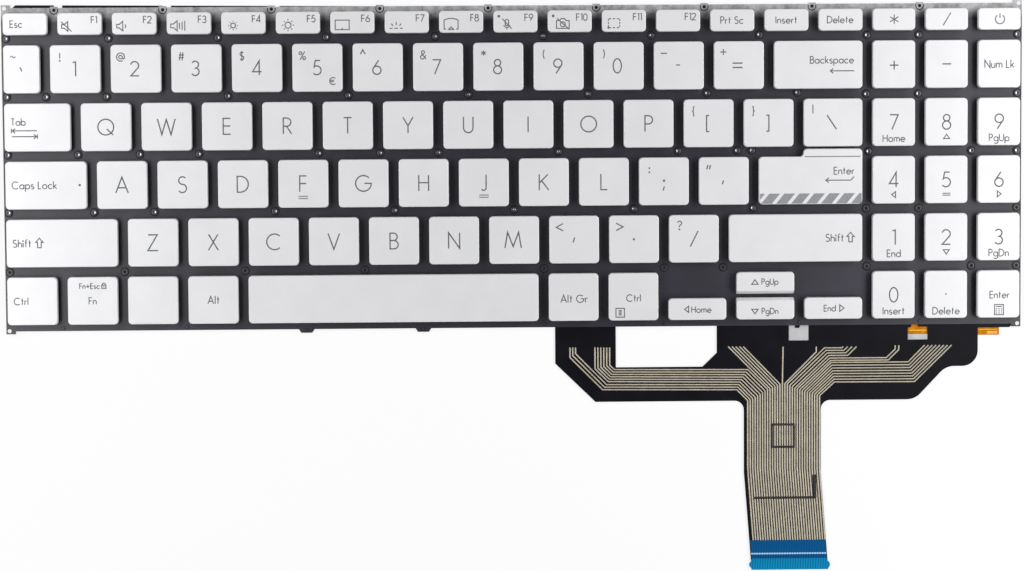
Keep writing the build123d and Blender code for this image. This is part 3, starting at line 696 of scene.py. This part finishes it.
functionNames = ["esc", *[f"f{n}" for n in range(1, 13)], "print_screen", "insert", "delete"]
functionSlot = (grid["right"] - grid["left"]) / len(functionNames)
for n, name in enumerate(functionNames):
    addFixedKey(name, 0, grid["left"] + n * functionSlot, functionSlot)
slotLeft = grid["left"]
for name in ["grave", *numberNames, "minus", "equals", "backspace"]:
    ends = {"grave": grid["graveShare"] * grid["pitch"], "backspace": grid["right"] - slotLeft}
    slot = ends.get(name, grid["pitch"])
    addFixedKey(name, 1, slotLeft, slot)
    slotLeft += slot
for row in range(len(grid["rows"])):
    for column in range(grid["padColumns"]):
        padLeft = grid["right"] + column * grid["padPitch"]
        addFixedKey(f"pad_{row}_{column}", row, padLeft, grid["padPitch"])

movingKeys = []
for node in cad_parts:
    if node.startswith("key_"):
        low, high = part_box(node)
        x, y = (low.x + high.x) / 2 / mm, (low.y + high.y) / 2 / mm
        movingKeys.append((node[4:], x, y, (high.x - low.x) / mm, (high.y - low.y) / mm))

enter = {
    "step": 2.45,
    # the step's line: a grey stroke of painted shade where the step meets the main top
    "stepShade": {"left": 0.3, "right": 0.7, "front": 0.1, "width": 0.32},
    "stripes": {
        "count": 8,
        "first": -4.1,
        "period": 4.77,
        "wide": 3.4,
        "tall": 3.2,
        "lean": 2.65,
        "frontGap": 0.29,
        "sideGap": 0.3,
        "sunk": 0.01,
        "thick": 0.02,
    },
}
capModels = {}


def drawStepShade(width, depth, stepLeft):
    look = enter["stepShade"]
    y = depth / 2 - look["front"]
    line = [(stepLeft + look["left"], y), (width / 2 - look["right"], y)]
    return drawStrokes([(line, look["width"])], keycap["top"], keycap["inkThick"], lightInkAndShade)


def drawStripes(width, depth):
    look = enter["stripes"]
    front, reach = -depth / 2 + look["frontGap"], width / 2 - look["sideGap"]
    middle = front + look["tall"] / 2
    stripes = []
    for n in range(look["count"]):
        x = -width / 2 + look["first"] + n * look["period"] + look["wide"] / 2
        stripe = addBlock(x, middle, keycap["top"] - look["sunk"], look["wide"], look["tall"], look["thick"])
        pick(stripe, "VERT", lambda c: c[0].y > middle)
        bpy.ops.transform.translate(value=(look["lean"] * mm, 0, 0))
        for side in (-1, 1):  # trims the stripe at the cap's side
            pick(stripe, "FACE", lambda c: True)
            trim = {"plane_co": (side * reach * mm, 0, 0), "plane_no": (side, 0, 0)}
            bpy.ops.mesh.bisect(**trim, clear_outer=True, use_fill=True)
        smooth(stripe)
        stripe.data.materials.append(lightInkAndShade)
        stripes.append(stripe)
    return stripes


def placeKeycap(name, x, y, width, depth):
    lean = {"arrow_up": -1, "arrow_down": 1}.get(name, 0)
    kind = (round(width, 2), round(depth, 2), lean)
    step = None
    if name == "enter":  # its box holds the step as well
        step = (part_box("key_backslash")[0].x / mm - x, enter["step"])
        depth -= enter["step"]
        y -= enter["step"] / 2
    if kind not in capModels:
        capModels[kind] = modelKeycap(width, depth, lean, step)
    cap = copyTo(capModels[kind], x, y)
    prints = [drawStepShade(width, depth, step[0]), *drawStripes(width, depth)] if step else []
    letters = [mark for mark in legends[name] if mark[0] != "bars"]
    # the homing ridges are drawn in the lighter grey: painted shade of their relief
    ridgeShades = [mark for mark in legends[name] if mark[0] == "bars"]
    for marks, material in ((letters, legendInk), (ridgeShades, lightInkAndShade)):
        if marks:
            strokes = markStrokes(marks, width)
            prints.append(drawStrokes(strokes, keycap["top"], keycap["inkThick"], material))
    return [cap, *[shift(part, x, y) for part in prints]]


for key in movingKeys:
    cap = joinAs("cap_" + key[0], placeKeycap(*key))
    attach(cap, "key_" + key[0])
    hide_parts("key_" + key[0])
fixedParts = [part for key in fixedKeys for part in placeKeycap(*key)]
fixedCaps = joinAs("capsOfFixedRows", fixedParts)
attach(fixedCaps, "base")
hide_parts("fixed_keycaps")
discard(*capModels.values())
print("keycaps placed:", len(movingKeys), "moving,", len(fixedKeys), "fixed")

# Under each cap: a rubber dome and a crossed pair of links, from the film up to the cap's ceiling
mechanism = {
    "foot": 0.65,
    "rise": 2.9,
    "keep": 0.52,  # share of its height at full press
    "dimple": 0.3,  # rim of the dome's top, as a share of its radius
    "hollow": (0.25, 0.8),  # how high the dome is hollowed, and the share of its width left there
    "length": 8.8,
    "thick": 0.6,
    "armRound": 0.35,
    "linkGap": 0.15,
    "deep": {"dome": (2.5, 1.2), "inner": 6.8, "arm": 0.9},
    "slim": {"dome": (1.15, 0.6), "inner": 3.5, "arm": 0.6},
    "deepFrom": 10,  # shallower caps get the slim one, turned by a quarter
}
stabiliser = {
    "leastWidth": 24.0,
    "seat": 0.7,
    "radius": 0.34,
    "leg": 6.0,
    "sideGaps": 4.0,
    "rearGap": 2.35,
    "footHeight": 1.3,
    "barHeight": 3.2,
}


def modelDome(base, top):
    foot, rise = mechanism["foot"], mechanism["rise"]
    size = {"radius1": base * mm, "radius2": top * mm, "depth": rise * mm}
    bpy.ops.mesh.primitive_cone_add(vertices=12, location=(0, 0, (foot + rise / 2) * mm), **size)
    dome = settle(bpy.context.object)
    pick(dome, "FACE", lambda c: min(p.z for p in c) > foot + rise - 0.1)
    bpy.ops.mesh.inset(thickness=top * mechanism["dimple"] * mm)
    high, share = mechanism["hollow"]
    pick(dome, "FACE", lambda c: max(p.z for p in c) < foot + 0.1)
    bpy.ops.mesh.extrude_region_move(TRANSFORM_OT_translate={"value": (0, 0, 0)})
    bpy.ops.transform.translate(value=(0, 0, high * mm))
    pick(dome, "VERT", lambda c: abs(c[0].z - foot - high) < 0.05)
    bpy.ops.transform.resize(value=(share, share, 1), center_override=(0, 0, 0))
    dome.data.materials.append(domeSilicone)
    return smooth(dome, 50)


def modelLink(width, arm, tilt):
    middle = mechanism["foot"] + mechanism["rise"] / 2
    length, thick = mechanism["length"], mechanism["thick"]
    link = addBlock(0, 0, -thick / 2, width, length, thick)
    pick(link, "FACE", lambda c: max(p.z for p in c) - min(p.z for p in c) < 0.1)
    bpy.ops.mesh.inset(thickness=arm * mm)
    bpy.ops.mesh.bridge_edge_loops()
    pick(link, "EDGE", lambda c: abs(c[0].z - c[1].z) > 0.5 and abs(c[0].x) > width / 2 - 0.1)
    bpy.ops.mesh.bevel(offset=mechanism["armRound"] * mm, segments=2, affect="EDGES")
    smooth(link)
    link.data.transform(Matrix.Translation((0, 0, middle * mm)) @ Matrix.Rotation(tilt, 4, "X"))
    link.data.materials.append(linkAcetal)
    return link


def modelMechanism(look):
    corner = math.atan2(mechanism["thick"], mechanism["length"])
    tilt = math.asin(mechanism["rise"] / math.hypot(mechanism["length"], mechanism["thick"])) - corner
    inner, arm = look["inner"], look["arm"]
    outer = inner + 2 * (mechanism["linkGap"] + arm)
    parts = [modelDome(*look["dome"]), modelLink(outer, arm, tilt), modelLink(inner, arm, -tilt)]
    return joinAs("mechanismModel", parts)


def bendWire(x, y, width, depth):
    # stabiliser wire under a wide cap: a long bar below the roof and two legs down to the plate
    side = (width - stabiliser["sideGaps"]) / 2 - stabiliser["seat"] / 2
    rear = depth / 2 - stabiliser["rearGap"]
    front = rear - (stabiliser["leg"] - stabiliser["seat"])
    low, high = stabiliser["footHeight"], stabiliser["barHeight"]
    path = [(-side, front, low), (-side, rear, high), (side, rear, high), (side, front, low)]
    curve = bpy.data.curves.new("wire", "CURVE")
    curve.dimensions, curve.bevel_depth = "3D", stabiliser["radius"] * mm
    curve.bevel_resolution, curve.use_fill_caps = 1, True
    line = curve.splines.new("POLY")
    line.points.add(len(path) - 1)
    for point, (px, py, pz) in zip(line.points, path):
        point.co = (px * mm, py * mm, pz * mm, 1)
    wire = meshFrom(curve)
    wire.location = (x * mm, y * mm, 0)
    settle(wire)
    wire.data.materials.append(wireSteel)
    return smooth(wire, 50)


deepModel = modelMechanism(mechanism["deep"])
slimModel = modelMechanism(mechanism["slim"])


def placeMechanism(x, y, depth):
    if depth > mechanism["deepFrom"]:
        return copyTo(deepModel, x, y)
    return copyTo(slimModel, x, y, math.pi / 2)


stillParts = [placeMechanism(x, y, depth) for name, x, y, width, depth in fixedKeys]
stillMechanism = joinAs("mechanismOfFixedRows", stillParts)
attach(stillMechanism, "base")
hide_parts("rubber_domes", "scissor_links")
for name, x, y, width, depth in movingKeys:
    if name == "enter":
        depth -= enter["step"]
        y -= enter["step"] / 2
    parts = [placeMechanism(x, y, depth)]
    stands = ["rubber_domes", "scissor_links"]
    if depth > mechanism["deepFrom"] and width > stabiliser["leastWidth"]:
        parts.append(bendWire(x, y, width, depth))
        stands.append("stabiliser_bars")
    spring = joinAs("mechanism_" + name, parts)
    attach(spring, "base")
    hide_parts(*stands)
    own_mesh(spring)
discard(deepModel, slimModel)
print("mechanisms placed")

# Stakes that hold the plate to the film: low rings in the gaps between the key rows, with a sunk bright head
stakes = {
    "plateTop": 0.95,
    "ring": 0.05,
    "radius": 1.42,
    "frontRadius": 0.6,
    "holeRadius": 0.54,
    # slot: a black arc round the lower side of each rear stake, painted shade under its pale ring
    "slot": {"radius": 1.24, "turns": (160, 380), "width": 0.3, "thick": 0.03},
    # steps of (inset, lift) from the ring to the middle
    "brightHead": [(0.36, 0), (0.12, 0.06), (0.4, 0.02), (0.1, -0.03), (0.2, -0.08)],
    "lowHead": [(0.36, 0), (0.16, 0.04), (0.4, 0), (0.12, -0.05)],
    "frontHead": [(0.18, 0), (0.15, 0.04)],
    "holeHead": [(0.08, -0.02), (0.1, -0.01)],
    "rear": [-145.09 + 34.28 * n for n in range(9)],
    "rearY": 50.4,
    "front": [(-143.6, -50.25), (-104.4, -50.25), (9.3, -50.2), (47.5, -50.25)]
    + [(90.7, -50.2), (129.4, -50.1), (-66.44, -51.4), (-29.29, -51.4)],
    # each gap's stakes, first beside the letters, then beside the pad: y, head, and places along x
    "rows": [
        (41.5, "bright", [-160.3, -128, -93.5, -59.2, -24.8, 9.4, 43.7, 78]),
        (41.2, "bright", [112.3, 128.8, 160.3]),
        (23.1, "bright", [-160.3, -147.9, -128.8, -90.5, -52.4, -14.4, 23.6, 61.4, 90.1]),
        (22.55, "bright", [112.1, 128.7, 160.3]),
        (4.8, "bright", [-160.3, -138.1, -118.6, -99.9, -61.9, -42.5, -24, 14.1, 52.1, 70.9, 75.6]),
        (4.3, "bright", [112.8, 145.7, 160.3]),
        (-13.5, "bright", [-160.3, -133.3, -114.2, -76, -38, -0.1, 38, 75.9]),
        (-13.9, "low", [112.1, 128.9, 160.3]),
        (-32.4, "low", [-160.3, -123.9, -85.7, -47.7, 9.3, 47.6, 66.4, 112.3, 145.8, 160.3]),
    ],
}


def modelStake(radius, materials, steps):
    # a low ring, with a head inside that rises or sinks in steps of (inset, lift); the last step is its core
    top, ring = stakes["plateTop"], stakes["ring"]
    middle = (0, 0, (top + ring / 2) * mm)
    bpy.ops.mesh.primitive_cylinder_add(vertices=16, radius=radius * mm, depth=ring * mm, location=middle)
    stake = settle(bpy.context.object)
    for material in materials:
        stake.data.materials.append(material)
    pick(stake, "FACE", lambda c: min(p.z for p in c) > top + 0.01)
    for step, (inset, lift) in enumerate(steps):
        bpy.ops.mesh.inset(thickness=inset * mm)
        bpy.ops.transform.translate(value=(0, 0, lift * mm))
        if step in (0, len(steps) - 2):
            stake.active_material_index = 1 if step == 0 else 2
            bpy.ops.object.material_slot_assign()
    return smooth(stake, 40)


heads = {
    # the near-black ring round each head is painted shade of its groove; the low heads' black core is
    # painted shade in their hole
    "bright": modelStake(stakes["radius"], [grooveAndHoleShade, plateCoat, headSteel], stakes["brightHead"]),
    "low": modelStake(stakes["radius"], [grooveAndHoleShade, plateCoat, grooveAndHoleShade], stakes["lowHead"]),
}
frontStake = modelStake(stakes["frontRadius"], [grooveAndHoleShade, plateCoat, plateCoat], stakes["frontHead"])
hole = modelStake(stakes["holeRadius"], [grooveAndHoleShade, grooveAndHoleShade, grooveAndHoleShade], stakes["holeHead"])
# rear stakes: a black hole, with a black arc of painted shade round its lower side
slot = stakes["slot"]
rearShadeLine = (arc(0, 0, slot["radius"], *slot["turns"]), slot["width"])
rearShadeArc = drawStrokes([rearShadeLine], stakes["plateTop"], slot["thick"], grooveAndHoleShade)
stakeParts = [copyTo(heads[head], x, y) for y, head, places in stakes["rows"] for x in places]
for x in stakes["rear"]:
    stakeParts += [copyTo(hole, x, stakes["rearY"]), copyTo(rearShadeArc, x, stakes["rearY"])]
stakeParts += [copyTo(frontStake, x, y) for x, y in stakes["front"]]
stakeRings = joinAs("stakeRings", stakeParts)
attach(stakeRings, "base")
discard(*heads.values(), frontStake, hole, rearShadeArc)
print("stakes placed")

# Printed traces on the panel and the tail, and two marks in carbon ink over them
tail = {
    "film": 0.65,
    "count": 30,
    "first": 74.29,
    "last": 97.35,
    "bend": -97.2,
    "end": -120.3,
    "leanFirst": 1.7,
    "leanLast": 1.78,
    "panelWidth": 0.46,
    "lineWidth": 0.5,
    "traceThick": 0.03,
    "box": [(82, -83), (89.1, -83), (89.1, -90.2), (82, -90.2), (82, -83)],
    "boxWidth": 0.75,
    "angle": [(76.2, -106.6), (95.9, -106.6), (95.6, -99.2)],
    "angleWidths": (0.8, 1.15),
    "markLift": 0.012,
    "markThick": 0.04,
}
# Bundles of traces: the first line, the last line and how many there are, which share out the tail's columns
bundles = [
    (
        [(17.43, -57.72), (17.41, -60.96), (27.8, -71.35), (70.77, -71.71), (74.3, -75.25)],
        [(19.2, -57.74), (19.2, -59.75), (29.05, -69.73), (71.42, -70.08), (75.9, -74.62)],
        3,
    ),
    (
        [(25.4, -57.79), (25.4, -64.6), (29.54, -68.77), (71.84, -69.28), (76.71, -74.21)],
        [(30.1, -57.83), (30.1, -63.5), (31.6, -64.93), (74.28, -65.28), (80.79, -71.65)],
        6,
    ),
    ([(68.07, -57.84), (81.59, -71.45)], [(72.88, -57.88), (84.84, -70.03)], 5),
    ([(85.65, -57.99), (85.64, -70.2)], None, 1),
    ([(96.3, -58.07), (96.3, -59.75), (86.38, -69.85)], None, 1),
    (
        [(104.99, -58.14), (104.5, -58.52), (98.95, -58.48), (87.25, -69.95)],
        [(109.19, -58.17), (106.43, -60.95), (100.33, -60.93), (89.66, -71.36)],
        4,
    ),
    (
        [(121.66, -57.86), (121.6, -59.08), (118.81, -61.79), (100.65, -61.77), (90.46, -71.52)],
        [(122.79, -57.87), (122.76, -59.25), (119.45, -62.53), (100.97, -62.54), (91.26, -71.85)],
        2,
    ),
    (
        [(131.09, -57.84), (125.82, -63.2), (101.13, -63.19), (92.07, -72.15)],
        [(139.74, -57.91), (127.89, -69.55), (102.16, -69.47), (97.69, -73.84)],
        8,
    ),
]


def between(start, end, share):
    return start + (end - start) * share


traceStrokes = []
for first, last, count in bundles:
    for n in range(count):
        share = n / (count - 1) if count > 1 else 0
        pairs = zip(first, last or first)
        run = [(between(a[0], b[0], share), between(a[1], b[1], share)) for a, b in pairs]
        column = len(traceStrokes) / 2 / (tail["count"] - 1)
        x = between(tail["first"], tail["last"], column)
        lean = between(tail["leanFirst"], tail["leanLast"], column)
        run[-1] = (x, run[-1][1])
        traceStrokes.append((run, tail["panelWidth"]))
        traceStrokes.append(([run[-1], (x, tail["bend"]), (x + lean, tail["end"])], tail["lineWidth"]))
traces = drawStrokes(traceStrokes, tail["film"], tail["traceThick"], traceInk)
foot, side = tail["angle"][:2], tail["angle"][1:]
angleLines = zip((foot, side), tail["angleWidths"])
carbonLines = [(tail["box"], tail["boxWidth"]), *angleLines]
carbon = drawStrokes(carbonLines, tail["film"] + tail["markLift"], tail["markThick"], carbonInk)
traces = joinAs("printedTraces", [traces, carbon])
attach(traces, "base")
print("traces drawn:", len(traceStrokes) // 2)

# Seen through the film's notches: milky sheets under the film, grey with painted shade, black tongues below
# the plate's front edge, of which the two in the second notch are painted shade of the plate's edge, and
# tracks on the amber strip. A place is its left, right, front and rear, and its front right corner's cut
notches = {
    "shadedSheets": {
        "heights": (0.39, 0.45),
        "places": [(87.2, 94.2, -56.4, -50.2, 0), (125.4, 132.4, -56.4, -54.3, 0)],
    },
    "tonguesAndShade": {
        "heights": (0.47, 0.645),
        "places": [
            (89.5, 91, -52, -49.8, 0.3),
            # these two lie across the second notch's rear: black film standing in for the plate edge's
            # shadow
            (125.6, 126.8, -52.1, -49.8, 0.3),
            (129.1, 132.2, -51.9, -49.8, 0.3),
            (148.1, 159.4, -52.3, -49.8, 1.1),
        ],
    },
    "tracks": {
        "heights": (0.219, 0.24),
        "places": [
            (148.4, 154.6, -53.1, -52.85, 0),
            (151.2, 154.5, -54.4, -53.5, 0),
            (126.2, 131.8, -53.25, -52.9, 0),
        ],
    },
}
notchParts = []
for kind, material in (("shadedSheets", notchShadeSheet), ("tonguesAndShade", filmBlack), ("tracks", trackCopper)):
    low, high = notches[kind]["heights"]
    for left, right, front, rear, cut in notches[kind]["places"]:
        middle = ((left + right) / 2, (front + rear) / 2)
        block = addBlock(*middle, low, right - left, rear - front, high - low)
        if cut:
            pick(block, "EDGE", lambda c: all(p.y < front + 0.1 and p.x > right - 0.1 for p in c))
            bpy.ops.mesh.bevel(offset=cut * mm, segments=1, affect="EDGES")
        smooth(block)
        block.data.materials.append(material)
        notchParts.append(block)
notchPieces = joinAs("notchPieces", notchParts)
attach(notchPieces, "base")
print("notch pieces placed:", len(notchParts))

# White floor, plain studio light: two soft boxes over the ends, so the plate stays dark in the middle
studio = {
    "floorSize": 60,
    "floorDrop": -0.02,
    "floorShare": 0.8,  # how much of the plain white the camera sees, with the shadows in the rest
    "boxes": [(-365, 15, 380, 2.12), (430, 15, 380, 3.15)],  # place in mm, and watts
    "boxSize": (0.28, 0.7),
    "boxTilt": 0.35,
    "world": 0.16,
}
bpy.ops.mesh.primitive_plane_add(size=studio["floorSize"], location=(0, 0, studio["floorDrop"] * mm))
floor = bpy.context.object
floor.name = "floor"
settle(floor)
paper = newMaterial("whitePaperFloor", {"Base Color": hexColor("#f2f2f2"), "Roughness": 0.9})
floor.data.materials.append(paper)
path = addNode(paper, "ShaderNodeLightPath").outputs
seen = path["Is Camera Ray"]
for ray in ("Is Glossy Ray", "Is Transmission Ray"):
    seen = addNode(paper, "ShaderNodeMath", {"operation": "MAXIMUM"}, {0: seen, 1: path[ray]}).outputs[0]
partly = {"operation": "MULTIPLY", 1: studio["floorShare"]}
share = addNode(paper, "ShaderNodeMath", partly, {0: seen}).outputs[0]
glow = addNode(paper, "ShaderNodeEmission", {"Color": (1, 1, 1, 1), "Strength": 1}).outputs[0]
lit = paper.node_tree.nodes["Principled BSDF"].outputs[0]
mixed = addNode(paper, "ShaderNodeMixShader", {}, {0: share, 1: lit, 2: glow}).outputs[0]
paper.node_tree.links.new(mixed, paper.node_tree.nodes["Material Output"].inputs["Surface"])

world = bpy.data.worlds.new("studioAir")
scene.world = world
world.use_nodes = True
air = world.node_tree.nodes["Background"].inputs
air["Color"].default_value = (1, 1, 1, 1)
air["Strength"].default_value = studio["world"]
for x, y, z, watts in studio["boxes"]:
    tilt = math.copysign(studio["boxTilt"], x)
    bpy.ops.object.light_add(type="AREA", location=(x * mm, y * mm, z * mm), rotation=(0, tilt, 0))
    lamp = bpy.context.object
    lamp.data.shape = "RECTANGLE"
    lamp.data.size, lamp.data.size_y = studio["boxSize"]
    lamp.data.energy = watts
scene.view_settings.view_transform = "Standard"
print("floor and light set")
